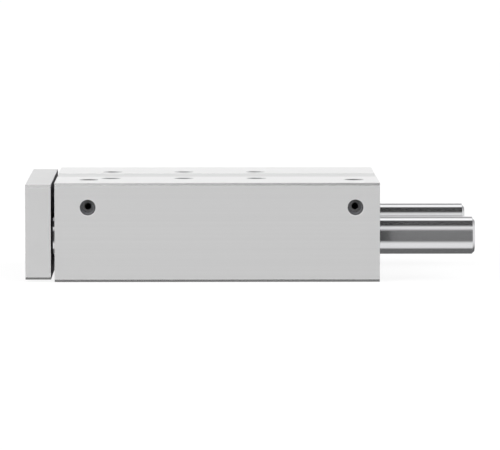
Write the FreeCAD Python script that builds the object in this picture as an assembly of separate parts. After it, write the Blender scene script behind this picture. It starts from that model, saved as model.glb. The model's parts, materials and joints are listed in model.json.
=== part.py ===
import FreeCAD, Part
import math
import os

# A guided pneumatic cylinder: a flat housing holds a cylinder bore between two guide rods,
# and a yoke plate at the front joins the piston rod to both guide rods.
# Sizes are in millimetres. +X runs from the yoke to the rear, +Y from the near side to the far side, +Z up.
# The origin is the centre of the housing's underside.

# Cylinder
bore_d = 20.0
stroke = 80.0
piston_rod_d = 10.0

# Guides
guide_rod_d = 14.0
guide_bush_wall = 1.0
guide_bush_length = 20.0
guide_rod_overhang = 35.85
guide_rod_chamfer = 0.9

# Walls of the housing's section
base_wall = 4.0
guide_side_wall = 3.0
web_width = 10.9
port_wall = 0.8
port_cover = 9.1
edge_chamfer = 1.0
mouth_chamfer = 0.4
slot_wall = 0.7

# Shallow strip along the top face
strip_width = 18.0
strip_depth = 0.25

# Sensor slots along the underside
slot_opening = 5.0
slot_undercut = 6.6
slot_lip = 1.5
slot_depth = 4.8

# End caps and their retaining rings
cap_step = 2.0
ring_land = 1.6
ring_thickness = 1.2
ring_groove_depth = 0.6
ring_width = 2.2
ring_gap_angle = 34.0
ring_ear_r = 2.0
ring_ear_hole_d = 1.8
ring_ear_flat = 0.5
front_cap_flange = 7.6
rear_cap_flange = 4.3
rear_cap_recess_d = 15.0
rear_cap_recess = 0.8
air_gap_length = 3.8
nose_step = 0.6
nose_slot_width = 2.4
nose_slot_count = 4
o_ring_section = 1.8
o_ring_groove_depth = 1.3
o_ring_chamfer = 0.4

# Rod bush and rod seal in the front cap
rod_bush_wall = 1.0
rod_seal_length = 3.0
rod_seal_width = 3.2
rod_seal_lip = 0.6
cap_inner_lip = 0.5

# Buffers
buffer_d = 17.0
buffer_hole_d = 11.2
buffer_thickness = 3.2
buffer_standoff = 1.2

# Piston
piston_land = 1.1
piston_seal_width = 2.6
piston_seal_depth = 2.2
piston_rib = 1.0
magnet_width = 4.0
magnet_thickness = 2.2
guide_band_thickness = 1.3
piston_spigot_d = 6.0
nut_recess_d = 12.4
nut_recess = 4.2
nut_flats = 10.0
nut_height = 3.6

# Air ports
port_d = 5.0
port_depth = 6.5
port_lead_in = 0.3
port_lead_in_depth = 1.0
port_rim_width = 0.45
port_rim_depth = 0.15
duct_d = 2.5
link_duct_d = 1.6
top_port_step = 7.5
plug_seat_d = 7.4
plug_seat_depth = 1.6
plug_head_height = 1.2
plug_shank = 4.5
plug_socket_flats = 2.5
plug_socket_depth = 2.0

# Mounting holes through the housing
mount_step = 4.4
mount_first = 20.6
mount_pitch = 27.5
mount_pairs = 3
mount_thread_d = 5.0
mount_thread_depth = 10.0
mount_through_d = 4.3
centring_d = 7.0
centring_depth = 1.6
centring_chamfer = 0.35

# Yoke plate
yoke_thickness = 9.5
yoke_gap = 1.4
yoke_inset_side = 0.5
yoke_inset_top = 0.65
yoke_inset_bottom = 0.9
yoke_chamfer = 0.9
yoke_load_pitch_z = 20.0

# Screws that hold the three rods to the yoke
screw_d = 6.0
screw_head_d = 10.0
screw_head_height = 4.0
screw_head_chamfer = 0.5
screw_head_sunk = 0.4
screw_grip = 9.0
screw_tip_space = 2.0
screw_socket_flats = 4.0
screw_socket_depth = 2.2

# Clearances
seat_clearance = 0.02
run_clearance = 0.03
seal_clearance = 0.05
piston_clearance = 0.2
end_clearance = 0.1
head_clearance = 0.5
screw_clearance = 0.2
thread_clearance = 0.05
plug_clearance = 0.15
guide_relief = 0.6
guide_rear_relief = 0.2
guide_engagement = 2.0
over = 1.0

# Radii around the three axes
bore_r = bore_d / 2
cap_seat_r = bore_r + cap_step
ring_groove_r = cap_seat_r + ring_groove_depth
rod_r = piston_rod_d / 2
guide_r = guide_rod_d / 2
guide_bush_r = guide_r + run_clearance + guide_bush_wall
guide_seat_r = guide_bush_r + seat_clearance
nose_r = bore_r + nose_step
buffer_r = buffer_d / 2
buffer_seat_r = buffer_r + seat_clearance
port_r = port_d / 2

# Section of the housing
axis_height = ring_groove_r + base_wall
guide_y = ring_groove_r + web_width + guide_seat_r
half_width = guide_y + guide_seat_r + guide_side_wall
port_height = axis_height + guide_seat_r + port_wall + port_r
housing_height = port_height + port_cover
mount_y = ring_groove_r + mount_step
top_port_y = mount_y + top_port_step
slot_drop = axis_height - slot_depth
slot_reach = math.sqrt(max((ring_groove_r + slot_wall) ** 2 - slot_drop ** 2, 0))
slot_y = slot_reach + slot_undercut / 2

# Places along the housing, from its yoke end
ring_groove_width = ring_thickness + end_clearance
front_cap_start = ring_land + ring_groove_width
front_cap_end = front_cap_start + front_cap_flange
chamber_start = front_cap_end + air_gap_length
piston_length = 2 * piston_land + 2 * piston_seal_width + 2 * piston_rib + magnet_width
chamber_end = chamber_start + stroke + piston_length + 2 * (buffer_standoff + end_clearance)
rear_cap_end = chamber_end + air_gap_length
rear_cap_start = rear_cap_end + rear_cap_flange
housing_length = rear_cap_start + ring_groove_width + ring_land
front_port = front_cap_end + air_gap_length / 2
rear_port = chamber_end + air_gap_length / 2
ports = (front_port, rear_port)
piston_end = chamber_end - buffer_standoff - end_clearance
piston_start = piston_end - piston_length
buffer_recess = buffer_thickness - buffer_standoff
guide_rod_end = housing_length + guide_rod_overhang
second_bush_end = min(housing_length - ring_land, guide_rod_end - stroke - guide_engagement)
second_bush_start = second_bush_end - guide_bush_length
mounts = [mount_first + i * mount_pitch for i in range(mount_pairs)]

# Places of the yoke
yoke_back = -yoke_gap
yoke_front = yoke_back - yoke_thickness
yoke_low = yoke_inset_bottom
yoke_high = housing_height - yoke_inset_top
yoke_half_width = half_width - yoke_inset_side
rod_start = yoke_back + seat_clearance
screw_seat = yoke_front + screw_head_height + screw_head_sunk
screw_tip = rod_start + screw_grip
screw_hole_end = screw_tip + screw_tip_space
load_heights = [(yoke_low + yoke_high + side * yoke_load_pitch_z) / 2 for side in (-1, 1)]

ALONG_X = FreeCAD.Vector(1, 0, 0)
ALONG_Y = FreeCAD.Vector(0, 1, 0)
ALONG_Z = FreeCAD.Vector(0, 0, 1)


def point(u, y, z):
    """A point at u millimetres behind the housing's yoke end."""
    return FreeCAD.Vector(u - housing_length / 2, y, z)


def rod_along_x(radius, start, end, y=0.0, z=axis_height):
    return Part.makeCylinder(radius, end - start, point(start, y, z), ALONG_X)


def turned(profile, y=0.0, z=axis_height):
    """Turns a closed profile of (u, radius) points about an axis along X."""
    corners = [point(u, y, z + radius) for u, radius in profile]
    outline = Part.makePolygon(corners + corners[:1])
    return Part.Face(outline).revolve(point(0, y, z), ALONG_X, 360)


def turned_upright(profile, u, y):
    """Turns a closed profile of (radius, z) points about an upright axis."""
    corners = [point(u + radius, y, z) for radius, z in profile]
    outline = Part.makePolygon(corners + corners[:1])
    return Part.Face(outline).revolve(point(u, y, 0), ALONG_Z, 360)


def ring(inner, outer, start, end, y=0.0):
    return turned([(start, inner), (end, inner), (end, outer), (start, outer)], y)


def hexagon(flats):
    """Corners of a hexagon about (0, 0), by its width across flats."""
    corner = flats / math.sqrt(3)
    return [(corner * math.cos(math.radians(60 * i)), corner * math.sin(math.radians(60 * i))) for i in range(6)]


def hex_along_x(flats, start, end, y, z):
    corners = [point(start, y + a, z + b) for a, b in hexagon(flats)]
    return Part.Face(Part.makePolygon(corners + corners[:1])).extrude(ALONG_X * (end - start))


def hex_along_z(flats, low, high, u, y):
    corners = [point(u + a, y + b, low) for a, b in hexagon(flats)]
    return Part.Face(Part.makePolygon(corners + corners[:1])).extrude(ALONG_Z * (high - low))


def cut_all(body, tools):
    for tool in tools:
        body = body.cut(tool)
    return body


def slot_outline(y):
    """Half-open outline of one sensor slot, from its left lip to its right lip."""
    mouth = slot_opening / 2
    wide = slot_undercut / 2
    return [
        (y - mouth, 0),
        (y - mouth, slot_lip),
        (y - wide, slot_lip),
        (y - wide, slot_depth),
        (y + wide, slot_depth),
        (y + wide, slot_lip),
        (y + mouth, slot_lip),
        (y + mouth, 0),
    ]


def housing_section():
    """Outline of the extrusion: bevelled corners, two sensor slots below, a shallow strip above."""
    side = half_width
    top = housing_height
    strip = strip_width / 2
    outline = [(-side, edge_chamfer), (-side + edge_chamfer, 0)]
    outline += slot_outline(-slot_y) + slot_outline(slot_y)
    outline += [(side - edge_chamfer, 0), (side, edge_chamfer)]
    outline += [(side, top - edge_chamfer), (side - edge_chamfer, top)]
    outline += [(strip + strip_depth, top), (strip, top - strip_depth)]
    outline += [(-strip, top - strip_depth), (-strip - strip_depth, top)]
    outline += [(-side + edge_chamfer, top), (-side, top - edge_chamfer)]
    return outline


def cylinder_bore():
    """The stepped bore: a cap seat with a ring groove at each end of the cylinder."""
    length = housing_length
    groove_end = ring_land + ring_groove_width
    return turned([
        (-mouth_chamfer, 0),
        (-mouth_chamfer, cap_seat_r + 2 * mouth_chamfer),
        (mouth_chamfer, cap_seat_r),
        (ring_land, cap_seat_r),
        (ring_land, ring_groove_r),
        (groove_end, ring_groove_r),
        (groove_end, cap_seat_r),
        (chamber_start, cap_seat_r),
        (chamber_start, bore_r),
        (chamber_end, bore_r),
        (chamber_end, cap_seat_r),
        (length - groove_end, cap_seat_r),
        (length - groove_end, ring_groove_r),
        (length - ring_land, ring_groove_r),
        (length - ring_land, cap_seat_r),
        (length - mouth_chamfer, cap_seat_r),
        (length + mouth_chamfer, cap_seat_r + 2 * mouth_chamfer),
        (length + mouth_chamfer, 0),
    ])


def guide_bore(y):
    """A guide bore: two bush seats with relief between them, and a wider run out to the rear."""
    length = housing_length
    relief_r = guide_r + guide_relief
    rear_r = guide_seat_r + guide_rear_relief
    return turned([
        (-mouth_chamfer, 0),
        (-mouth_chamfer, guide_seat_r + 2 * mouth_chamfer),
        (mouth_chamfer, guide_seat_r),
        (guide_bush_length + mouth_chamfer, guide_seat_r),
        (guide_bush_length + mouth_chamfer, relief_r),
        (second_bush_start, relief_r),
        (second_bush_start, guide_seat_r),
        (second_bush_end, guide_seat_r),
        (second_bush_end, rear_r),
        (length - mouth_chamfer, rear_r),
        (length + mouth_chamfer, rear_r + 2 * mouth_chamfer),
        (length + mouth_chamfer, 0),
    ], y)


def side_port(u):
    """A threaded port in the near side: a shallow rim, a tapered lead-in, the thread's wall,
    and a thin duct on to the air gap around the cap's nose."""
    face = -half_width
    mouth = port_r + port_lead_in
    corners = [
        (0, -port_rim_depth),
        (mouth + 2 * port_rim_width, -port_rim_depth),
        (mouth, port_rim_depth),
        (port_r, port_lead_in_depth),
        (port_r, port_depth),
        (duct_d / 2, port_depth),
        (duct_d / 2, half_width),
        (0, half_width),
    ]
    points = [point(u + radius, face + depth, port_height) for radius, depth in corners]
    outline = Part.makePolygon(points + points[:1])
    return Part.Face(outline).revolve(point(u, 0, port_height), ALONG_Y, 360)


def top_port(u):
    """A threaded port in the top face, with a seat for its plug, that meets the side port's duct."""
    top = housing_height
    thread_end = top - plug_seat_depth - port_depth
    return turned_upright([
        (0, top + over),
        (plug_seat_d / 2, top + over),
        (plug_seat_d / 2, top - plug_seat_depth),
        (port_r, top - plug_seat_depth),
        (port_r, thread_end),
        (link_duct_d / 2, thread_end),
        (link_duct_d / 2, port_height),
        (0, port_height),
    ], u, -top_port_y)


def mount_hole(u, y):
    """A hole right through: a centring seat and a thread above, and a thread below."""
    top = housing_height
    seat = top - centring_depth
    thread_r = mount_thread_d / 2
    through_r = mount_through_d / 2
    return turned_upright([
        (0, top + centring_chamfer),
        (centring_d / 2 + 2 * centring_chamfer, top + centring_chamfer),
        (centring_d / 2, top - centring_chamfer),
        (centring_d / 2, seat),
        (thread_r, seat),
        (thread_r, seat - mount_thread_depth),
        (through_r, seat - mount_thread_depth),
        (through_r, mount_thread_depth),
        (thread_r, mount_thread_depth),
        (thread_r, -over),
        (0, -over),
    ], u, y)


def make_housing():
    corners = [point(0, y, z) for y, z in housing_section()]
    block = Part.Face(Part.makePolygon(corners + corners[:1])).extrude(ALONG_X * housing_length)
    tools = [cylinder_bore(), guide_bore(-guide_y), guide_bore(guide_y)]
    tools += [side_port(u) for u in ports] + [top_port(u) for u in ports]
    tools += [mount_hole(u, y) for u in mounts for y in (-mount_y, mount_y)]
    return cut_all(block, tools)


def make_port_plugs():
    """Two blanking plugs that close the ports in the top face."""
    plugs = []
    head_low = housing_height - plug_seat_depth + seat_clearance
    head_high = head_low + plug_head_height
    for u in ports:
        plug = turned_upright([
            (0, head_high),
            (plug_seat_d / 2 - plug_clearance, head_high),
            (plug_seat_d / 2 - plug_clearance, head_low),
            (port_r - thread_clearance, head_low),
            (port_r - thread_clearance, head_low - plug_shank),
            (0, head_low - plug_shank),
        ], u, -top_port_y)
        socket_low = head_high - plug_socket_depth
        plugs.append(plug.cut(hex_along_z(plug_socket_flats, socket_low, head_high + over, u, -top_port_y)))
    return Part.makeCompound(plugs)


def o_ring(groove_start):
    """A squeezed ring in its groove, bearing on the cap seat."""
    low = cap_seat_r - o_ring_groove_depth
    high = cap_seat_r - seat_clearance / 2
    start = groove_start + seat_clearance
    end = groove_start + o_ring_section - seat_clearance
    c = o_ring_chamfer
    return turned([
        (start + c, low),
        (end - c, low),
        (end, low + c),
        (end, high - c),
        (end - c, high),
        (start + c, high),
        (start, high - c),
        (start, low + c),
    ])


front_o_ring_groove = front_cap_end - o_ring_section - o_ring_section / 2
rear_o_ring_groove = rear_cap_end + (rear_cap_flange - o_ring_section) / 2


def nose_slots(start, end):
    """Slots that let the air from the gap around a cap's nose into the bore."""
    slots = []
    for i in range(nose_slot_count):
        slot = Part.makeBox(end - start, nose_slot_width, nose_r + over)
        slot.translate(point(start, -nose_slot_width / 2, axis_height))
        slot.rotate(point(0, 0, axis_height), ALONG_X, 360 * (i + 0.5) / nose_slot_count)
        slots.append(slot)
    return slots


# Steps of the front cap's bore, from its outer face inwards
rod_seal_start = front_cap_start + rod_seal_lip
rod_seal_end = rod_seal_start + rod_seal_length
rod_seal_r = rod_r + rod_seal_width
rod_bush_start = rod_seal_end + cap_inner_lip
rod_bush_end = chamber_start - buffer_recess
rod_bush_r = rod_r + run_clearance + rod_bush_wall


def make_front_cap():
    """The bearing cap: holds the rod seal, the rod bush and the front buffer."""
    flange_r = cap_seat_r - seat_clearance
    groove_r = flange_r - o_ring_groove_depth
    nose_end = chamber_start - seat_clearance
    rod_pass_r = rod_r + piston_clearance
    cap = turned([
        (front_cap_start, rod_seal_r - rod_seal_lip),
        (front_cap_start, flange_r),
        (front_o_ring_groove, flange_r),
        (front_o_ring_groove, groove_r),
        (front_o_ring_groove + o_ring_section, groove_r),
        (front_o_ring_groove + o_ring_section, flange_r),
        (front_cap_end, flange_r),
        (front_cap_end, nose_r),
        (nose_end, nose_r),
        (nose_end, buffer_seat_r),
        (rod_bush_end, buffer_seat_r),
        (rod_bush_end, rod_bush_r + seat_clearance),
        (rod_bush_start, rod_bush_r + seat_clearance),
        (rod_bush_start, rod_pass_r),
        (rod_seal_end, rod_pass_r),
        (rod_seal_end, rod_seal_r),
        (rod_seal_start, rod_seal_r),
        (rod_seal_start, rod_seal_r - rod_seal_lip),
    ])
    return cut_all(cap, nose_slots(rod_bush_end, chamber_start + over))


def make_rear_cap():
    """The closed cap: holds the rear buffer."""
    flange_r = cap_seat_r - seat_clearance
    groove_r = flange_r - o_ring_groove_depth
    nose_start = chamber_end + seat_clearance
    recess_floor = chamber_end + buffer_recess
    cap = turned([
        (recess_floor, 0),
        (recess_floor, buffer_seat_r),
        (nose_start, buffer_seat_r),
        (nose_start, nose_r),
        (rear_cap_end, nose_r),
        (rear_cap_end, flange_r),
        (rear_o_ring_groove, flange_r),
        (rear_o_ring_groove, groove_r),
        (rear_o_ring_groove + o_ring_section, groove_r),
        (rear_o_ring_groove + o_ring_section, flange_r),
        (rear_cap_start, flange_r),
        (rear_cap_start, rear_cap_recess_d / 2),
        (rear_cap_start - rear_cap_recess, rear_cap_recess_d / 2),
        (rear_cap_start - rear_cap_recess, 0),
    ])
    return cut_all(cap, nose_slots(chamber_end - over, recess_floor))


def retaining_ring(start):
    """An open spring ring for a bore, with two drilled ears, its gap facing up."""
    end = start + ring_thickness
    outer = ring_groove_r - end_clearance
    inner = outer - ring_width
    body = ring(inner, outer, start, end)
    ear_reach = inner
    half_gap = math.radians(ring_gap_angle / 2)
    ears = []
    holes = []
    for side in (-1, 1):
        y = side * ear_reach * math.sin(half_gap)
        z = axis_height + ear_reach * math.cos(half_gap)
        ears.append(rod_along_x(ring_ear_r, start, end, y, z))
        holes.append(rod_along_x(ring_ear_hole_d / 2, start - over, end + over, y, z))
    gap_half_width = ear_reach * math.sin(half_gap) - ring_ear_r + ring_ear_flat
    gap = Part.makeBox(ring_thickness + 2 * over, 2 * gap_half_width, outer + over)
    gap.translate(point(start - over, -gap_half_width, axis_height))
    for ear in ears:
        body = body.fuse(ear)
    return cut_all(body, [gap] + holes).removeSplitter()


def make_rod_bush():
    return ring(rod_r + run_clearance, rod_bush_r, rod_bush_start + seat_clearance, rod_bush_end - seat_clearance)


def make_rod_seal():
    """A lip ring: a stiff heel in the cap's groove, and two lips that run on the rod."""
    start = rod_seal_start + seat_clearance
    end = rod_seal_end - seat_clearance
    heel_r = rod_seal_r - seat_clearance
    lip_r = rod_r + seal_clearance
    waist_r = rod_r + rod_seal_width / 3
    middle = (start + end) / 2
    lip = rod_seal_length / 6
    return turned([
        (start, heel_r),
        (end, heel_r),
        (end, waist_r),
        (end - lip, lip_r),
        (middle + lip, lip_r),
        (middle, waist_r),
        (middle - lip, lip_r),
        (start + lip, lip_r),
        (start, waist_r),
    ])


def guide_bush(start, y):
    return ring(guide_r + run_clearance, guide_bush_r, start, start + guide_bush_length - seat_clearance, y)


def buffer(start):
    end = start + buffer_thickness - seat_clearance
    return ring(buffer_hole_d / 2, buffer_r, start, end)


def guide_rod(y):
    """A guide rod from the back of the yoke out behind the housing, drilled for its screw."""
    rod = turned([
        (rod_start, 0),
        (rod_start, guide_r - guide_rod_chamfer / 2),
        (rod_start + guide_rod_chamfer / 2, guide_r),
        (guide_rod_end - guide_rod_chamfer, guide_r),
        (guide_rod_end, guide_r - guide_rod_chamfer),
        (guide_rod_end, 0),
    ], y)
    return rod.cut(rod_along_x(screw_d / 2, rod_start - over, screw_hole_end, y))


def make_piston_rod():
    """The piston rod, drilled for its screw at the yoke and turned down where it passes the piston."""
    spigot_r = piston_spigot_d / 2
    spigot_end = piston_end - (nut_recess - nut_height) / 2
    rod = turned([
        (rod_start, 0),
        (rod_start, rod_r - guide_rod_chamfer / 2),
        (rod_start + guide_rod_chamfer / 2, rod_r),
        (piston_start - seat_clearance, rod_r),
        (piston_start - seat_clearance, spigot_r),
        (spigot_end, spigot_r),
        (spigot_end, 0),
    ])
    return rod.cut(rod_along_x(screw_d / 2, rod_start - over, screw_hole_end))


# Grooves of the piston, from its front face
front_seal_start = piston_start + piston_land
magnet_start = front_seal_start + piston_seal_width + piston_rib
rear_seal_start = magnet_start + magnet_width + piston_rib
piston_r = bore_r - piston_clearance
seal_groove_r = bore_r - piston_seal_depth
magnet_groove_r = bore_r - guide_band_thickness - magnet_thickness


def make_piston():
    hole_r = piston_spigot_d / 2 + seat_clearance
    nut_floor = piston_end - nut_recess
    profile = [(piston_start, hole_r), (piston_start, piston_r)]
    grooves = (
        (front_seal_start, piston_seal_width, seal_groove_r),
        (magnet_start, magnet_width, magnet_groove_r),
        (rear_seal_start, piston_seal_width, seal_groove_r),
    )
    for start, width, radius in grooves:
        profile += [(start, piston_r), (start, radius), (start + width, radius), (start + width, piston_r)]
    profile += [(piston_end, piston_r), (piston_end, nut_recess_d / 2)]
    profile += [(nut_floor, nut_recess_d / 2), (nut_floor, hole_r)]
    return turned(profile)


def piston_seal(groove_start, lip_side):
    """A lip seal in its groove; lip_side is -1 for a lip that faces the yoke and 1 for one that faces the rear."""
    start = groove_start + seat_clearance
    end = groove_start + piston_seal_width - seat_clearance
    low = seal_groove_r + seat_clearance
    high = bore_r - seal_clearance
    heel = (low + high) / 2
    notch = (end - start) / 2
    profile = [(start, low), (start, high), (end - notch, heel + notch / 2), (end, heel), (end, low)]
    if lip_side > 0:
        profile = [(start + end - u, radius) for u, radius in profile]
    return turned(profile)


def make_magnet():
    low = magnet_groove_r + seat_clearance
    return ring(low, low + magnet_thickness - 2 * seat_clearance, magnet_start + seat_clearance,
                magnet_start + magnet_width - seat_clearance)


def make_guide_band():
    low = magnet_groove_r + magnet_thickness + seat_clearance
    return ring(low, bore_r - seal_clearance, magnet_start + seat_clearance,
                magnet_start + magnet_width - seat_clearance)


def make_piston_nut():
    floor = piston_end - nut_recess + seat_clearance
    nut = hex_along_x(nut_flats, floor, floor + nut_height, 0, axis_height)
    return nut.cut(rod_along_x(piston_spigot_d / 2 + thread_clearance, floor - over, floor + nut_height + over))


def load_hole(y, z):
    """A threaded hole through the yoke with a centring seat at the front."""
    seat = rod_along_x(centring_d / 2, yoke_front - over, yoke_front + centring_depth, y, z)
    return seat.fuse(rod_along_x(mount_thread_d / 2, yoke_front - over, yoke_back + over, y, z))


def make_yoke():
    side = yoke_half_width
    c = yoke_chamfer
    outline = [
        (-side, yoke_low + c),
        (-side + c, yoke_low),
        (side - c, yoke_low),
        (side, yoke_low + c),
        (side, yoke_high - c),
        (side - c, yoke_high),
        (-side + c, yoke_high),
        (-side, yoke_high - c),
    ]
    corners = [point(yoke_front, y, z) for y, z in outline]
    plate = Part.Face(Part.makePolygon(corners + corners[:1])).extrude(ALONG_X * yoke_thickness)
    tools = []
    for y in (-guide_y, 0, guide_y):
        tools.append(rod_along_x(screw_d / 2 + screw_clearance, yoke_front, yoke_back + over, y))
        tools.append(rod_along_x(screw_head_d / 2 + head_clearance, yoke_front - over, screw_seat, y))
    tools += [load_hole(y, z) for y in (-mount_y, mount_y) for z in load_heights]
    return cut_all(plate, tools)


def make_yoke_screws():
    """Three socket screws: one into each guide rod and one into the piston rod."""
    screws = []
    seat = screw_seat - seat_clearance
    front = seat - screw_head_height
    shank_r = screw_d / 2 - thread_clearance
    for y in (-guide_y, 0, guide_y):
        screw = turned([
            (front, 0),
            (front, screw_head_d / 2 - screw_head_chamfer),
            (front + screw_head_chamfer, screw_head_d / 2),
            (seat, screw_head_d / 2),
            (seat, shank_r),
            (screw_tip, shank_r),
            (screw_tip, 0),
        ], y)
        socket = hex_along_x(screw_socket_flats, front - over, front + screw_socket_depth, y, axis_height)
        screws.append(screw.cut(socket))
    return Part.makeCompound(screws)


pieces = {
    "housing": make_housing(),
    "top_port_plugs": make_port_plugs(),
    "front_cap": make_front_cap(),
    "front_cap_o_ring": o_ring(front_o_ring_groove),
    "front_retaining_ring": retaining_ring(front_cap_start - ring_thickness - seat_clearance),
    "rod_bush": make_rod_bush(),
    "rod_seal": make_rod_seal(),
    "front_buffer": buffer(rod_bush_end + seat_clearance),
    "rear_cap": make_rear_cap(),
    "rear_cap_o_ring": o_ring(rear_o_ring_groove),
    "rear_retaining_ring": retaining_ring(rear_cap_start + seat_clearance),
    "rear_buffer": buffer(chamber_end - buffer_standoff),
    "near_front_bush": guide_bush(mouth_chamfer, -guide_y),
    "near_rear_bush": guide_bush(second_bush_start + seat_clearance, -guide_y),
    "far_front_bush": guide_bush(mouth_chamfer, guide_y),
    "far_rear_bush": guide_bush(second_bush_start + seat_clearance, guide_y),
    "yoke_plate": make_yoke(),
    "yoke_screws": make_yoke_screws(),
    "near_guide_rod": guide_rod(-guide_y),
    "far_guide_rod": guide_rod(guide_y),
    "piston_rod": make_piston_rod(),
    "piston": make_piston(),
    "front_piston_seal": piston_seal(front_seal_start, -1),
    "rear_piston_seal": piston_seal(rear_seal_start, 1),
    "magnet_ring": make_magnet(),
    "piston_guide_band": make_guide_band(),
    "piston_nut": make_piston_nut(),
}

os.makedirs("parts", exist_ok=True)
for name, shape in pieces.items():
    shape.exportStep("parts/" + name + ".step")
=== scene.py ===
import json
import math

import bpy
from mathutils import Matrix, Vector


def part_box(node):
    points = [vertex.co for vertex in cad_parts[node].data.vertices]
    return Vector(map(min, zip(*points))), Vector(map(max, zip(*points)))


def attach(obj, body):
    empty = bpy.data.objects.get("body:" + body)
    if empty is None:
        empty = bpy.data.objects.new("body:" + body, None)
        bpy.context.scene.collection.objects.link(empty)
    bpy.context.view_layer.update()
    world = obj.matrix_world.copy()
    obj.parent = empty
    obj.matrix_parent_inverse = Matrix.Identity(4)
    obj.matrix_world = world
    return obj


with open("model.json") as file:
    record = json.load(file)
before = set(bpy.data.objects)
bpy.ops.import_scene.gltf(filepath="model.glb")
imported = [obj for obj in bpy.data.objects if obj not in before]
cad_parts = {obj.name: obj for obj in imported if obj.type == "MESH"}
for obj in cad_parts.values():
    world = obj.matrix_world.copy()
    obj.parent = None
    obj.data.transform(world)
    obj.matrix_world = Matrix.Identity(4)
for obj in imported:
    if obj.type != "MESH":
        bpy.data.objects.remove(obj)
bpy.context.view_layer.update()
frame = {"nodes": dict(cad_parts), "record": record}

# A guided pneumatic cylinder: a flat anodised housing, a yoke plate at its left end, and two bright guide
# rods that stand out of its right end. Lengths are in metres.
MM = 0.001
nodes = frame["nodes"]
mounts = {mount["name"]: mount for mount in frame["record"]["mounts"]}
housing_low, housing_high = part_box("housing")
rod_low, rod_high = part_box("far_guide_rod")

# Axes of the bores
axis_height = (rod_low.z + rod_high.z) / 2
guide_y = (rod_low.y + rod_high.y) / 2

# Places where the finish of the housing, the yoke and the rods changes, and where their painted shade starts
strip_half_width = 9.27 * MM
strip_depth = 0.25 * MM
sensor_slot_depth = 5.0 * MM
hole_rim_depth = 0.11 * MM
housing_bevel = 1.0 * MM
yoke_bevel = 0.9 * MM
port_lead_in_depth = 1.2 * MM
port_depth = 6.5 * MM
# Length of the painted shadow of the yoke on each rod
dull_shaded_end_length = 0.65 * MM

# How near to such a place still counts, and the share of a bevel's width that does
strip_allowance = 0.125 * MM
end_face_allowance = 0.02 * MM
port_floor_allowance = 0.05 * MM
bevel_share = 0.98

# Screw threads: M5 coarse
thread_pitch = 0.8 * MM
thread_ridge_height = 0.43 * MM
thread_root_width = 0.7 * MM
thread_crest_share = 0.3
thread_bite = 0.02 * MM
thread_lead_in = 0.3 * MM
thread_steps = 36
thread_merge_distance = 0.001 * MM
thread_crease_angle = math.radians(25)
port_thread_turns = 6
mount_thread_turns = 11
yoke_thread_turns = 9


def linear(hex_colour):
    """An sRGB hex colour as linear red, green, blue and alpha."""
    channels = [int(hex_colour[i:i + 2], 16) / 255 for i in (1, 3, 5)]
    return [c / 12.92 if c <= 0.04045 else ((c + 0.055) / 1.055) ** 2.4 for c in channels] + [1.0]


def add(tree, kind, settings, inputs):
    """Adds a node, sets its settings, and gives each of its inputs a value or a link."""
    node = tree.nodes.new(kind)
    for name, value in settings.items():
        setattr(node, name, value)
    for key, value in inputs.items():
        if isinstance(value, bpy.types.NodeSocket):
            tree.links.new(value, node.inputs[key])
        else:
            node.inputs[key].default_value = value
    return node


def start_material(name, colour, metallic, roughness):
    """A material with one surface shader, given with its tree, the shader and object coordinates."""
    material = bpy.data.materials.new(name)
    material.use_nodes = True
    tree = material.node_tree
    tree.nodes.clear()
    shader = add(tree, "ShaderNodeBsdfPrincipled", {}, {
        "Base Color": linear(colour), "Metallic": metallic, "Roughness": roughness})
    add(tree, "ShaderNodeOutputMaterial", {}, {"Surface": shader.outputs["BSDF"]})
    place = add(tree, "ShaderNodeTexCoord", {}, {}).outputs["Object"]
    return material, tree, shader, place


def distance_from_axis(tree, place, axis_y):
    """How far a point is from the nearest bore axis at height axis_height and at plus or minus axis_y."""
    split = add(tree, "ShaderNodeSeparateXYZ", {}, {"Vector": place})
    aside = add(tree, "ShaderNodeMath", {"operation": "ABSOLUTE"}, {0: split.outputs["Y"]})
    flat = add(tree, "ShaderNodeCombineXYZ", {}, {"Y": aside.outputs[0], "Z": split.outputs["Z"]})
    return add(tree, "ShaderNodeVectorMath", {"operation": "DISTANCE"}, {
        0: flat.outputs[0], 1: (0, axis_y, axis_height)}).outputs["Value"]


def on_bevels(tree, place, node, width):
    """Is 1 on the bevels along the four long edges of a node, and 0 elsewhere."""
    low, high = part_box(node)
    middle = (low + high) / 2
    reach = (high - low) / 2
    split = add(tree, "ShaderNodeSeparateXYZ", {}, {"Vector": place})
    near_edges = []
    for axis in (1, 2):
        from_middle = add(tree, "ShaderNodeMath", {"operation": "SUBTRACT"}, {
            0: split.outputs[axis], 1: middle[axis]})
        distance = add(tree, "ShaderNodeMath", {"operation": "ABSOLUTE"}, {0: from_middle.outputs[0]})
        near_edge = add(tree, "ShaderNodeMath", {"operation": "GREATER_THAN"}, {
            0: distance.outputs[0], 1: reach[axis] - bevel_share * width})
        near_edges.append(near_edge.outputs[0])
    return add(tree, "ShaderNodeMath", {"operation": "MULTIPLY"}, {
        0: near_edges[0], 1: near_edges[1]}).outputs[0]


def on_end_faces(tree, place, node):
    """Is 1 on the two flat faces that end a node along X, and 0 elsewhere."""
    low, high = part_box(node)
    split = add(tree, "ShaderNodeSeparateXYZ", {}, {"Vector": place})
    between = add(tree, "ShaderNodeMath", {"operation": "COMPARE"}, {
        0: split.outputs["X"], 1: (low.x + high.x) / 2, 2: (high.x - low.x) / 2 - end_face_allowance})
    return add(tree, "ShaderNodeMath", {"operation": "SUBTRACT"}, {
        0: 1.0, 1: between.outputs[0]}).outputs[0]


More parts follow.
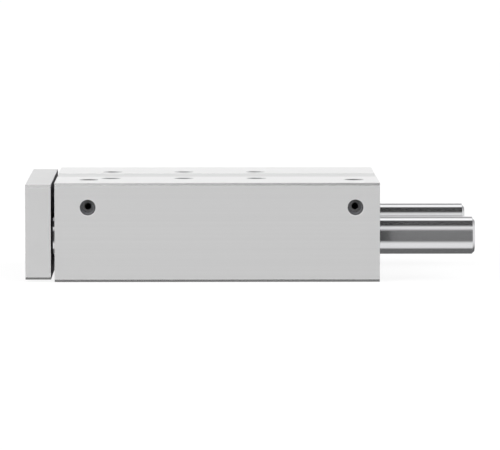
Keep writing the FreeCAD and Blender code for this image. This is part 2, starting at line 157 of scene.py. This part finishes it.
def below_hole_rims(tree, place):
    """Is 1 inside the housing above its sensor slots, and 0 on its outer faces and the rims of its holes."""
    low = housing_low + Vector((hole_rim_depth, hole_rim_depth, sensor_slot_depth))
    high = housing_high - Vector((hole_rim_depth, hole_rim_depth, hole_rim_depth))
    split = add(tree, "ShaderNodeSeparateXYZ", {}, {"Vector": place})
    inside = 1.0
    for axis in range(3):
        within = add(tree, "ShaderNodeMath", {"operation": "COMPARE"}, {
            0: split.outputs[axis], 1: (low[axis] + high[axis]) / 2, 2: (high[axis] - low[axis]) / 2})
        inside = add(tree, "ShaderNodeMath", {"operation": "MULTIPLY"}, {
            0: inside, 1: within.outputs[0]}).outputs[0]
    return inside


def extrusion_zones(tree, place):
    """The zones of the housing that have a finish or painted shade of their own, each 1 there and 0
    elsewhere: the strip on top, the bevels, the holes, the threaded mouths and the floors of the side ports,
    and the end faces."""
    split = add(tree, "ShaderNodeSeparateXYZ", {}, {"Vector": place})
    aside = add(tree, "ShaderNodeMath", {"operation": "ABSOLUTE"}, {0: split.outputs["Y"]})
    in_width = add(tree, "ShaderNodeMath", {"operation": "LESS_THAN"}, {
        0: aside.outputs[0], 1: strip_half_width})
    in_height = add(tree, "ShaderNodeMath", {"operation": "GREATER_THAN"}, {
        0: split.outputs["Z"], 1: housing_high.z - strip_depth - strip_allowance})
    strip = add(tree, "ShaderNodeMath", {"operation": "MULTIPLY"}, {
        0: in_width.outputs[0], 1: in_height.outputs[0]}).outputs[0]
    bevels = on_bevels(tree, place, "housing", housing_bevel)
    strip_or_bevel = add(tree, "ShaderNodeMath", {"operation": "MAXIMUM"}, {0: bevels, 1: strip})
    # Painted shade inside the holes, below their rims; their walls are also barer metal
    bare_shaded_holes = add(tree, "ShaderNodeMath", {"operation": "GREATER_THAN"}, {
        0: below_hole_rims(tree, place), 1: strip_or_bevel.outputs[0]}).outputs[0]
    # Painted shade in the threaded mouths of the side ports
    at_near_side = add(tree, "ShaderNodeMath", {"operation": "LESS_THAN"}, {
        0: split.outputs["Y"], 1: housing_low.y + port_lead_in_depth})
    shaded_port_mouths = add(tree, "ShaderNodeMath", {"operation": "MULTIPLY"}, {
        0: at_near_side.outputs[0], 1: bare_shaded_holes}).outputs[0]
    port_floors = add(tree, "ShaderNodeMath", {"operation": "COMPARE"}, {
        0: split.outputs["Y"], 1: housing_low.y + port_depth, 2: port_floor_allowance}).outputs[0]
    # Painted shade on the end faces, for the gap at the yoke; they are also barer, milled metal
    ends = on_end_faces(tree, place, "housing")
    return strip, bevels, bare_shaded_holes, shaded_port_mouths, port_floors, ends


def anodised_extrusion():
    """Clear-anodised, extruded aluminium: pale satin grey with faint die lines along its length and a fine
    etched grain, duller in the strip sunk in the top face and smoother on the bevels. The milled end faces
    and the holes bored after anodising are barer metal with painted shade: darker in the holes, darkest in
    the threaded mouths of the side ports, and darker on the end faces for the gap at the yoke."""
    material, tree, shader, place = start_material("clear_anodised_extrusion", "#E6E6E6", 0.45, 0.36)
    strip, bevels, bare_shaded_holes, shaded_port_mouths, port_floors, ends = extrusion_zones(tree, place)

    # Real die lines and etched grain are too fine to show here, so both are drawn coarser
    die_lines_per_m = 1 / (0.9 * MM)
    changes_along_per_m = 3
    grain_size = 0.35 * MM
    along = add(tree, "ShaderNodeMapping", {}, {
        "Vector": place, "Scale": (changes_along_per_m, die_lines_per_m, die_lines_per_m)})
    lines = add(tree, "ShaderNodeTexNoise", {}, {"Vector": along.outputs[0], "Scale": 1, "Detail": 3})
    grain = add(tree, "ShaderNodeTexNoise", {}, {"Vector": place, "Scale": 1 / grain_size, "Detail": 2})

    tone = add(tree, "ShaderNodeMix", {"data_type": "RGBA"}, {
        0: lines.outputs["Fac"], 6: linear("#E3E3E3"), 7: linear("#E9E9E9")}).outputs[2]
    # The darker tones of the holes, the port mouths and the end faces are painted shade
    zone_colours = (
        (strip, "#D8D8D8"),
        (bare_shaded_holes, "#BCBCBE"),
        (shaded_port_mouths, "#505052"),
        (port_floors, "#E6E6E6"),
        (ends, "#BEBEC0"),
    )
    for zone, colour in zone_colours:
        tone = add(tree, "ShaderNodeMix", {"data_type": "RGBA"}, {
            0: zone, 6: tone, 7: linear(colour)}).outputs[2]
    tree.links.new(tone, shader.inputs["Base Color"])

    sheen = add(tree, "ShaderNodeMapRange", {}, {
        "Value": grain.outputs["Fac"], "To Min": 0.34, "To Max": 0.42}).outputs[0]
    for zone, roughness in ((strip, 0.46), (bevels, 0.2), (ends, 0.4)):
        sheen = add(tree, "ShaderNodeMix", {"data_type": "FLOAT"}, {
            "Factor": zone, "A": sheen, "B": roughness}).outputs[0]
    tree.links.new(sheen, shader.inputs["Roughness"])

    bareness = 0.45
    for zone, metallic in ((bevels, 0.8), (bare_shaded_holes, 0.85), (shaded_port_mouths, 0.2), (port_floors, 0.2), (ends, 0.9)):
        bareness = add(tree, "ShaderNodeMix", {"data_type": "FLOAT"}, {
            "Factor": zone, "A": bareness, "B": metallic}).outputs[0]
    tree.links.new(bareness, shader.inputs["Metallic"])

    relief = add(tree, "ShaderNodeBump", {}, {
        "Height": lines.outputs["Fac"], "Strength": 0.12, "Distance": 0.01 * MM})
    tree.links.new(relief.outputs[0], shader.inputs["Normal"])
    return material


def anodised_plate():
    """Clear-anodised, milled aluminium plate: nearly the same pale grey, blasted before anodising, so duller
    and a little cloudy, with smoother bevels and barer metal on its two wide milled faces, painted darker
    as the shade of the gap at the housing."""
    material, tree, shader, place = start_material("clear_anodised_plate", "#D8D8D8", 0.4, 0.62)
    bevels = on_bevels(tree, place, "yoke_plate", yoke_bevel)
    ends = on_end_faces(tree, place, "yoke_plate")

    # The real grain is too fine to show here, so it is drawn coarser
    grain_size = 0.3 * MM
    cloud_size = 12 * MM
    grain = add(tree, "ShaderNodeTexNoise", {}, {"Vector": place, "Scale": 1 / grain_size, "Detail": 3})
    cloud = add(tree, "ShaderNodeTexNoise", {}, {"Vector": place, "Scale": 1 / cloud_size, "Detail": 2})

    tone = add(tree, "ShaderNodeMix", {"data_type": "RGBA"}, {
        0: cloud.outputs["Fac"], 6: linear("#D5D5D5"), 7: linear("#DBDBDB")})
    # Painted shade: the wide milled faces darker, for the gap at the housing
    end_tone = add(tree, "ShaderNodeMix", {"data_type": "RGBA"}, {
        0: ends, 6: tone.outputs[2], 7: linear("#BEBEC0")})
    tree.links.new(end_tone.outputs[2], shader.inputs["Base Color"])

    sheen = add(tree, "ShaderNodeMapRange", {}, {
        "Value": grain.outputs["Fac"], "To Min": 0.57, "To Max": 0.67}).outputs[0]
    bareness = 0.4
    for zone, roughness, metallic in ((bevels, 0.2, 0.7), (ends, 0.4, 0.9)):
        sheen = add(tree, "ShaderNodeMix", {"data_type": "FLOAT"}, {
            "Factor": zone, "A": sheen, "B": roughness}).outputs[0]
        bareness = add(tree, "ShaderNodeMix", {"data_type": "FLOAT"}, {
            "Factor": zone, "A": bareness, "B": metallic}).outputs[0]
    tree.links.new(sheen, shader.inputs["Roughness"])
    tree.links.new(bareness, shader.inputs["Metallic"])

    relief = add(tree, "ShaderNodeBump", {}, {
        "Height": grain.outputs["Fac"], "Strength": 0.2, "Distance": 0.01 * MM})
    tree.links.new(relief.outputs[0], shader.inputs["Normal"])
    return material


def ground_bar(name, colour, roughness, axis_y):
    """Centreless-ground steel bar, chromed or stainless: mirror bright along its length, with very fine
    rings round it from the wheel, turned rings on its end faces, and a duller first stretch at the yoke,
    painted darker as the yoke's shadow."""
    material, tree, shader, place = start_material(name, colour, 0.95, roughness)

    # Both kinds of ring are too fine to show at their real size, so they are drawn coarser
    wheel_rings_per_m = 1 / (0.5 * MM)
    changes_round_per_m = 20
    turning_feed = 0.12 * MM
    across = add(tree, "ShaderNodeMapping", {}, {
        "Vector": place, "Scale": (wheel_rings_per_m, changes_round_per_m, changes_round_per_m)})
    rings = add(tree, "ShaderNodeTexNoise", {}, {"Vector": across.outputs[0], "Scale": 1, "Detail": 3})
    reach = distance_from_axis(tree, place, axis_y)
    turning = add(tree, "ShaderNodeMath", {"operation": "PINGPONG"}, {0: reach, 1: turning_feed})
    turning_height = add(tree, "ShaderNodeMapRange", {}, {
        "Value": turning.outputs[0], "From Max": turning_feed})

    split = add(tree, "ShaderNodeSeparateXYZ", {}, {"Vector": place})
    # Painted shadow of the yoke: the rod's first stretch at the yoke is darker, and duller
    dull_shaded_yoke_end = add(tree, "ShaderNodeMath", {"operation": "LESS_THAN"}, {
        0: split.outputs["X"], 1: rod_low.x + dull_shaded_end_length})
    tone = add(tree, "ShaderNodeMix", {"data_type": "RGBA"}, {
        0: dull_shaded_yoke_end.outputs[0], 6: linear(colour), 7: linear("#7C7C7E")})
    tree.links.new(tone.outputs[2], shader.inputs["Base Color"])
    sheen = add(tree, "ShaderNodeMapRange", {}, {
        "Value": rings.outputs["Fac"], "To Min": roughness * 0.7, "To Max": roughness * 1.4})
    end_sheen = add(tree, "ShaderNodeMix", {"data_type": "FLOAT"}, {
        "Factor": dull_shaded_yoke_end.outputs[0], "A": sheen.outputs[0], "B": 0.45})
    tree.links.new(end_sheen.outputs[0], shader.inputs["Roughness"])
    relief = add(tree, "ShaderNodeBump", {}, {
        "Height": turning_height.outputs[0], "Strength": 0.15, "Distance": 0.005 * MM})
    tree.links.new(relief.outputs[0], shader.inputs["Normal"])
    return material


def turned_aluminium(name, colour):
    """Turned, clear-anodised aluminium: bright rings about the cylinder's axis on every face."""
    material, tree, shader, place = start_material(name, colour, 0.7, 0.32)
    feed = 0.2 * MM
    reach = distance_from_axis(tree, place, 0)
    turning = add(tree, "ShaderNodeMath", {"operation": "PINGPONG"}, {0: reach, 1: feed})
    height = add(tree, "ShaderNodeMapRange", {}, {"Value": turning.outputs[0], "From Max": feed})
    sheen = add(tree, "ShaderNodeMapRange", {}, {
        "Value": height.outputs[0], "To Min": 0.27, "To Max": 0.38})
    tree.links.new(sheen.outputs[0], shader.inputs["Roughness"])
    relief = add(tree, "ShaderNodeBump", {}, {
        "Height": height.outputs[0], "Strength": 0.3, "Distance": 0.01 * MM})
    tree.links.new(relief.outputs[0], shader.inputs["Normal"])
    return material


def plated_steel(name, colour, roughness):
    """Plated steel fastener: an even bright grey, with a slight cloudiness of the plating."""
    material, tree, shader, place = start_material(name, colour, 1.0, roughness)
    cloud_size = 1.5 * MM
    cloud = add(tree, "ShaderNodeTexNoise", {}, {"Vector": place, "Scale": 1 / cloud_size, "Detail": 4})
    sheen = add(tree, "ShaderNodeMapRange", {}, {
        "Value": cloud.outputs["Fac"], "To Min": roughness * 0.75, "To Max": roughness * 1.25})
    tree.links.new(sheen.outputs[0], shader.inputs["Roughness"])
    relief = add(tree, "ShaderNodeBump", {}, {
        "Height": cloud.outputs["Fac"], "Strength": 0.1, "Distance": 0.02 * MM})
    tree.links.new(relief.outputs[0], shader.inputs["Normal"])
    return material


def phosphated_spring_steel():
    """Phosphated, oiled spring steel: near black, with a crystal grain drawn coarser than the real one."""
    material, tree, shader, place = start_material("phosphated_spring_steel", "#3E3F41", 0.8, 0.42)
    crystal_size = 0.15 * MM
    crystals = add(tree, "ShaderNodeTexVoronoi", {}, {"Vector": place, "Scale": 1 / crystal_size})
    tone = add(tree, "ShaderNodeMix", {"data_type": "RGBA"}, {
        0: crystals.outputs["Distance"], 6: linear("#37383A"), 7: linear("#4A4B4D")})
    tree.links.new(tone.outputs[2], shader.inputs["Base Color"])
    relief = add(tree, "ShaderNodeBump", {}, {
        "Height": crystals.outputs["Distance"], "Strength": 0.3, "Distance": 0.01 * MM})
    tree.links.new(relief.outputs[0], shader.inputs["Normal"])
    return material


def sintered_bronze():
    """Oil-filled sintered bronze: dull brown gold with open pores, drawn coarser than the real ones."""
    material, tree, shader, place = start_material("sintered_bronze", "#A98A5C", 0.9, 0.45)
    pore_size = 0.25 * MM
    pores = add(tree, "ShaderNodeTexNoise", {}, {"Vector": place, "Scale": 1 / pore_size, "Detail": 2})
    tone = add(tree, "ShaderNodeValToRGB", {}, {"Fac": pores.outputs["Fac"]})
    tone.color_ramp.elements[0].position = 0.36
    tone.color_ramp.elements[0].color = linear("#6B5437")
    tone.color_ramp.elements[1].position = 0.46
    tone.color_ramp.elements[1].color = linear("#B08F60")
    tree.links.new(tone.outputs["Color"], shader.inputs["Base Color"])
    relief = add(tree, "ShaderNodeBump", {}, {
        "Height": pores.outputs["Fac"], "Strength": 0.3, "Distance": 0.02 * MM})
    tree.links.new(relief.outputs[0], shader.inputs["Normal"])
    return material


def moulded_elastomer(name, dark, light, roughness):
    """Moulded rubber or polymer: dull and even, with a slight bloom."""
    material, tree, shader, place = start_material(name, dark, 0.0, roughness)
    bloom_size = 0.8 * MM
    bloom_sheen = 0.08
    bloom = add(tree, "ShaderNodeTexNoise", {}, {"Vector": place, "Scale": 1 / bloom_size, "Detail": 4})
    tone = add(tree, "ShaderNodeMix", {"data_type": "RGBA"}, {
        0: bloom.outputs["Fac"], 6: linear(dark), 7: linear(light)})
    tree.links.new(tone.outputs[2], shader.inputs["Base Color"])
    sheen = add(tree, "ShaderNodeMapRange", {}, {
        "Value": bloom.outputs["Fac"], "To Min": roughness - bloom_sheen, "To Max": roughness + bloom_sheen})
    tree.links.new(sheen.outputs[0], shader.inputs["Roughness"])
    return material


def cut_thread_aluminium():
    """Tapped aluminium: dull grey flanks with tool marks, darker than the anodised skin around them."""
    material, tree, shader, place = start_material("tapped_aluminium", "#6E6F71", 0.3, 0.34)
    mark_size = 0.12 * MM
    marks = add(tree, "ShaderNodeTexNoise", {}, {"Vector": place, "Scale": 1 / mark_size, "Detail": 2})
    sheen = add(tree, "ShaderNodeMapRange", {}, {
        "Value": marks.outputs["Fac"], "To Min": 0.26, "To Max": 0.44})
    tree.links.new(sheen.outputs[0], shader.inputs["Roughness"])
    return material


def dress_nodes():
    """Gives each solid of the frame the finish of what it is."""
    guide_bar = ground_bar("hard_chromed_guide_bar", "#E6E6E8", 0.02, guide_y)
    rubber = moulded_elastomer("nitrile_rubber", "#1B1B1C", "#262627", 0.6)
    buffer_polymer = moulded_elastomer("cast_polyurethane", "#B7AA86", "#C6BA97", 0.45)
    ring_steel = phosphated_spring_steel()
    bronze = sintered_bronze()
    cap_metal = turned_aluminium("turned_cap_aluminium", "#C9CACC")
    finishes = {
        "housing": anodised_extrusion(),
        "yoke_plate": anodised_plate(),
        "near_guide_rod": guide_bar,
        "far_guide_rod": guide_bar,
        "piston_rod": ground_bar("polished_stainless_bar", "#DCDDDF", 0.1, 0),
        "front_cap": cap_metal,
        "rear_cap": cap_metal,
        "piston": turned_aluminium("turned_piston_aluminium", "#CBCCCE"),
        "yoke_screws": plated_steel("zinc_plated_screw_steel", "#C3C6CA", 0.32),
        "top_port_plugs": plated_steel("nickel_plated_plug_steel", "#C8C6C2", 0.25),
        "piston_nut": plated_steel("zinc_plated_nut_steel", "#C3C6CA", 0.32),
        "front_retaining_ring": ring_steel,
        "rear_retaining_ring": ring_steel,
        "rod_bush": bronze,
        "near_front_bush": bronze,
        "near_rear_bush": bronze,
        "far_front_bush": bronze,
        "far_rear_bush": bronze,
        "front_cap_o_ring": rubber,
        "rear_cap_o_ring": rubber,
        "front_piston_seal": rubber,
        "rear_piston_seal": rubber,
        "rod_seal": moulded_elastomer("polyurethane_wiper", "#2A3A48", "#334556", 0.5),
        "front_buffer": buffer_polymer,
        "rear_buffer": buffer_polymer,
        "magnet_ring": moulded_elastomer("plastic_bound_ferrite", "#2C2A2A", "#383535", 0.55),
        "piston_guide_band": moulded_elastomer("filled_bearing_polymer", "#242424", "#303030", 0.5),
    }
    for name, material in finishes.items():
        nodes[name].material_slots[0].material = material


def wind_thread(radius, turns):
    """Models the ridge of a screw thread in a hole about Z, wound down from a lead-in below the mouth."""
    bpy.ops.object.select_all(action="DESELECT")
    bpy.ops.mesh.primitive_plane_add(size=1, rotation=(math.pi / 2, 0, 0))
    ridge = bpy.context.object
    bpy.ops.object.transform_apply(location=True, rotation=True, scale=True)

    # A section that tapers from its root, sunk a little in the hole's wall, to its crest
    crest_radius = radius - thread_ridge_height
    depth = thread_ridge_height + thread_bite
    middle_radius = crest_radius + depth / 2
    bpy.ops.object.mode_set(mode="EDIT")
    bpy.ops.transform.resize(value=(depth, 1, thread_root_width))
    bpy.ops.transform.translate(value=(middle_radius, 0, -thread_lead_in - thread_root_width / 2))
    bpy.ops.mesh.select_all(action="DESELECT")
    bpy.ops.object.mode_set(mode="OBJECT")
    for vertex in ridge.data.vertices:
        vertex.select = vertex.co.x < middle_radius
    bpy.ops.object.mode_set(mode="EDIT")
    bpy.ops.transform.resize(value=(1, 1, thread_crest_share))
    bpy.ops.object.mode_set(mode="OBJECT")

    winding = ridge.modifiers.new("winding", "SCREW")
    winding.axis = "Z"
    winding.screw_offset = -thread_pitch
    winding.iterations = turns
    winding.steps = thread_steps
    winding.render_steps = thread_steps
    bpy.ops.object.modifier_apply(modifier=winding.name)

    # Closed at both ends, with its faces outwards
    bpy.ops.object.mode_set(mode="EDIT")
    bpy.ops.mesh.select_all(action="SELECT")
    bpy.ops.mesh.remove_doubles(threshold=thread_merge_distance)
    bpy.ops.mesh.select_all(action="SELECT")
    bpy.ops.mesh.fill_holes(sides=0)
    bpy.ops.mesh.select_all(action="SELECT")
    bpy.ops.mesh.normals_make_consistent(inside=False)
    bpy.ops.object.mode_set(mode="OBJECT")
    bpy.ops.object.shade_smooth_by_angle(angle=thread_crease_angle)
    return ridge


def place_thread(ridge, name, mouth, outward, body, material):
    """Copies a thread into a hole whose mouth is at a point, with the hole's axis pointing outward."""
    thread = ridge.copy()
    thread.data = ridge.data.copy()
    thread.name = name
    bpy.context.scene.collection.objects.link(thread)
    bpy.ops.object.select_all(action="DESELECT")
    thread.select_set(True)
    bpy.context.view_layer.objects.active = thread
    thread.rotation_mode = "QUATERNION"
    thread.rotation_quaternion = Vector(outward).to_track_quat("Z", "X")
    thread.location = mouth
    bpy.ops.object.transform_apply(location=True, rotation=True, scale=True)
    thread.data.materials.clear()
    thread.data.materials.append(material)
    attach(thread, body)


def hole_mouths(mount_name, along, across):
    """The mouths of a bolt pattern's holes, spread about its middle along one or two directions."""
    mount = mounts[mount_name]
    middle = Vector(mount["pos_m"])
    spacings = mount["dims"]
    shifts_along = [0]
    if "spacing_x_mm" in spacings:
        shifts_along = [side * spacings["spacing_x_mm"] * MM / 2 for side in (-1, 1)]
    shifts_across = [side * spacings["spacing_y_mm"] * MM / 2 for side in (-1, 1)]
    return [middle + Vector(along) * a + Vector(across) * b for a in shifts_along for b in shifts_across]


def cut_threads():
    """Screw threads in the air ports, in both ends of the mounting holes and in the yoke's holes."""
    metal = cut_thread_aluminium()
    port = mounts["side_port_front"]
    hole_radius = port["dims"]["r_mm"] * MM
    port_length = port["dims"]["length_mm"] * MM
    port_thread = wind_thread(hole_radius, port_thread_turns)
    for name in ("side_port_front", "side_port_rear"):
        outward = Vector(mounts[name]["axis"])
        mouth = Vector(mounts[name]["pos_m"]) + outward * port_length / 2
        place_thread(port_thread, name + "_thread", mouth, outward, "housing", metal)

    mount_thread = wind_thread(hole_radius, mount_thread_turns)
    for side in ("underside", "top"):
        outward = mounts[side + "_bolts_outer"]["axis"]
        mouths = hole_mouths(side + "_bolts_outer", (1, 0, 0), (0, 1, 0))
        mouths += hole_mouths(side + "_bolts_middle", (1, 0, 0), (0, 1, 0))
        for number, mouth in enumerate(mouths, 1):
            name = f"{side}_mount_thread_{number}"
            place_thread(mount_thread, name, mouth, outward, "housing", metal)

    yoke_thread = wind_thread(hole_radius, yoke_thread_turns)
    outward = mounts["yoke_bolts"]["axis"]
    for number, mouth in enumerate(hole_mouths("yoke_bolts", (0, 1, 0), (0, 0, 1)), 1):
        place_thread(yoke_thread, f"yoke_thread_{number}", mouth, outward, "slide", metal)

    for ridge in (port_thread, mount_thread, yoke_thread):
        bpy.data.objects.remove(ridge)


def mirrored_studio(tree, split):
    """What bright metal sees: lamps and dark walls as bands along the part, one more lamp at the left of the
    ceiling, a few dark patches of painted shade and shadow, and an even wall past each end. A direction's
    angle is in degrees round the part's length, 0 straight in front and 90 straight up, and its side is its
    own X."""
    # First angle, last angle and brightness of each band
    bands = (
        (-176, -91, 0.16),  # dark floor behind
        (-78, -48, 0.9),  # pale table in front
        (-30, 31, 0.175),  # dark room in front
        (48, 54, 0.87),  # front lamp
        (69, 103, 0.03),  # dark ceiling
        (114, 128, 1.2),  # top lamp
        (140, 156, 0.36),  # dark wall behind
        (168, 180, 1.15),  # pale horizon behind
    )
    # First angle, last angle, left side, right side and brightness of each patch of painted shade
    painted_shade_patches = (
        (-30, 30, -0.045, 0.045, 0.07),  # painted shadow of the housing on the near rod
        (60, 108, -0.047, -0.022, 0.03),  # painted shade: keeps the ceiling lamp out of the gap at the yoke
        (108, 138, -0.047, -0.022, 0.45),  # painted shade: dims the top lamp in the gap at the yoke
    )
    # Brightness of the ceiling lamp, the heights at which it starts and is full, and its right edge
    ceiling_lamp = 0.84
    ceiling_lamp_start = 0.93
    ceiling_lamp_full = 0.97
    ceiling_lamp_soft_edge = 0.02
    # Brightness of the end walls, and how far aside they start and are full
    end_wall = 0.85
    end_wall_start = 0.6
    end_wall_full = 0.95

    forward = add(tree, "ShaderNodeMath", {"operation": "MULTIPLY"}, {0: split.outputs["Y"], 1: -1})
    angle = add(tree, "ShaderNodeMath", {"operation": "ARCTAN2"}, {
        0: split.outputs["Z"], 1: forward.outputs[0]})
    turn = add(tree, "ShaderNodeMapRange", {}, {
        "Value": angle.outputs[0], "From Min": -math.pi, "From Max": math.pi})
    banded = add(tree, "ShaderNodeValToRGB", {}, {"Fac": turn.outputs[0]})
    ramp = banded.color_ramp.elements
    stops_at_hand = len(ramp)
    stops = [(edge, value) for first, last, value in bands for edge in (first, last)]
    for number, (edge, value) in enumerate(stops):
        position = (edge + 180) / 360
        stop = ramp[number] if number < stops_at_hand else ramp.new(position)
        stop.position = position
        stop.color = (value, value, value, 1)

    overhead = add(tree, "ShaderNodeMapRange", {}, {
        "Value": split.outputs["Z"],
        "From Min": ceiling_lamp_start,
        "From Max": ceiling_lamp_full,
        "To Max": ceiling_lamp})
    to_left = add(tree, "ShaderNodeMapRange", {}, {
        "Value": split.outputs["X"],
        "From Min": ceiling_lamp_soft_edge,
        "From Max": -ceiling_lamp_soft_edge})
    seen = add(tree, "ShaderNodeMath", {"operation": "MULTIPLY_ADD"}, {
        0: overhead.outputs[0], 1: to_left.outputs[0], 2: banded.outputs["Color"]}).outputs[0]

    for low, high, left, right, value in painted_shade_patches:
        at_angle = add(tree, "ShaderNodeMath", {"operation": "COMPARE"}, {
            0: angle.outputs[0], 1: math.radians(low + high) / 2, 2: math.radians(high - low) / 2})
        at_side = add(tree, "ShaderNodeMath", {"operation": "COMPARE"}, {
            0: split.outputs["X"], 1: (left + right) / 2, 2: (right - left) / 2})
        covered = add(tree, "ShaderNodeMath", {"operation": "MULTIPLY"}, {
            0: at_angle.outputs[0], 1: at_side.outputs[0]})
        seen = add(tree, "ShaderNodeMix", {"data_type": "FLOAT"}, {
            "Factor": covered.outputs[0], "A": seen, "B": value}).outputs[0]

    aside = add(tree, "ShaderNodeMath", {"operation": "ABSOLUTE"}, {0: split.outputs["X"]})
    to_end = add(tree, "ShaderNodeMapRange", {"interpolation_type": "SMOOTHSTEP"}, {
        "Value": aside.outputs[0], "From Min": end_wall_start, "From Max": end_wall_full})
    return add(tree, "ShaderNodeMix", {"data_type": "FLOAT"}, {
        "Factor": to_end.outputs[0], "A": seen, "B": end_wall}).outputs[0]


def soft_light(tree, direction, split):
    """What matt surfaces see: soft light from above and in front, most of it from the left and the right,
    and a little from all round."""
    light_all_round = 0.3
    light_from_above = 1.48
    light_from_front = 1.02
    # Keeps a level face as bright as if the light above were not spread to both sides
    side_gain = 8 / 3
    toward_lamps = add(tree, "ShaderNodeVectorMath", {"operation": "DOT_PRODUCT"}, {
        0: direction, 1: (0, -light_from_front, light_from_above)})
    lit = add(tree, "ShaderNodeMath", {"operation": "MAXIMUM"}, {0: toward_lamps.outputs["Value"], 1: 0})
    aside = add(tree, "ShaderNodeMath", {"operation": "ABSOLUTE"}, {0: split.outputs["X"]})
    both_sides = add(tree, "ShaderNodeMath", {"operation": "MULTIPLY"}, {
        0: lit.outputs[0], 1: aside.outputs[0]})
    return add(tree, "ShaderNodeMath", {"operation": "MULTIPLY_ADD"}, {
        0: both_sides.outputs[0], 1: side_gain, 2: light_all_round}).outputs[0]


def studio_world():
    """A white studio. The camera sees plain white, matt surfaces see soft light, and bright metal sees the
    lamps and the dark walls."""
    world = bpy.data.worlds.new("white_studio")
    world.use_nodes = True
    # The light differs by the kind of ray, so each surface finds it by its own rays
    world.cycles.sampling_method = "NONE"
    tree = world.node_tree
    tree.nodes.clear()
    direction = add(tree, "ShaderNodeTexCoord", {}, {}).outputs["Generated"]
    split = add(tree, "ShaderNodeSeparateXYZ", {}, {"Vector": direction})
    ray = add(tree, "ShaderNodeLightPath", {}, {})
    by_gloss = add(tree, "ShaderNodeMix", {"data_type": "FLOAT"}, {
        "Factor": ray.outputs["Is Glossy Ray"],
        "A": soft_light(tree, direction, split),
        "B": mirrored_studio(tree, split)})
    by_camera = add(tree, "ShaderNodeMix", {"data_type": "FLOAT"}, {
        "Factor": ray.outputs["Is Camera Ray"], "A": by_gloss.outputs[0], "B": 1.0})
    light = add(tree, "ShaderNodeBackground", {}, {"Color": by_camera.outputs[0]})
    add(tree, "ShaderNodeOutputWorld", {}, {"Surface": light.outputs[0]})
    bpy.context.scene.world = world


def pale_floor():
    """A pale floor that the camera sees as white with a faint shadow. It throws little light back, and
    bright metal mirrors the studio in its place."""
    floor_size = 40
    drop_below_part = 0.05 * MM
    share_of_white = 0.88
    bpy.ops.object.select_all(action="DESELECT")
    bpy.ops.mesh.primitive_plane_add(size=floor_size, location=(0, 0, -drop_below_part))
    floor = bpy.context.object
    floor.name = "pale_floor"
    floor.visible_glossy = False
    material = bpy.data.materials.new("pale_paper")
    material.use_nodes = True
    tree = material.node_tree
    tree.nodes.clear()
    ray = add(tree, "ShaderNodeLightPath", {}, {})
    tone = add(tree, "ShaderNodeMix", {"data_type": "RGBA"}, {
        0: ray.outputs["Is Camera Ray"], 6: linear("#505050"), 7: linear("#FAFAFA")})
    paper = add(tree, "ShaderNodeBsdfDiffuse", {}, {"Color": tone.outputs[2]})
    glow = add(tree, "ShaderNodeEmission", {}, {})
    whiteness = add(tree, "ShaderNodeMath", {"operation": "MULTIPLY"}, {
        0: ray.outputs["Is Camera Ray"], 1: share_of_white})
    mixed = add(tree, "ShaderNodeMixShader", {}, {
        0: whiteness.outputs[0], 1: paper.outputs[0], 2: glow.outputs[0]})
    add(tree, "ShaderNodeOutputMaterial", {}, {"Surface": mixed.outputs[0]})
    floor.data.materials.append(material)


def front_lamp():
    """A wide, low lamp to the front left, for the part's matt surfaces."""
    place = Vector((-1.7, -1.7, 0.65))
    bpy.ops.object.light_add(type="AREA", location=place)
    lamp = bpy.context.object
    lamp.name = "front_lamp"
    lamp.rotation_mode = "QUATERNION"
    lamp.rotation_quaternion = (-place).to_track_quat("-Z", "Y")
    lamp.data.shape = "RECTANGLE"
    lamp.data.size = 0.5
    lamp.data.size_y = 0.1
    lamp.data.energy = 28
    lamp.visible_glossy = False


def camera_at_near_side():
    """A long lens about 1.6 m in front of the near side, a little above it."""
    place = Vector((-6.81, -1618.99, 153.85)) * MM
    aim = Vector((12.2, -42.6, 21.4)) * MM
    bpy.ops.object.camera_add(location=place)
    camera = bpy.context.object
    camera.rotation_mode = "QUATERNION"
    camera.rotation_quaternion = (aim - place).to_track_quat("-Z", "Y")
    camera.data.sensor_width = 36
    camera.data.lens = 305.64
    camera.data.clip_end = 100
    bpy.context.scene.camera = camera


camera_at_near_side()
studio_world()
front_lamp()
pale_floor()
dress_nodes()
cut_threads()
bpy.context.scene.view_settings.view_transform = "Standard"
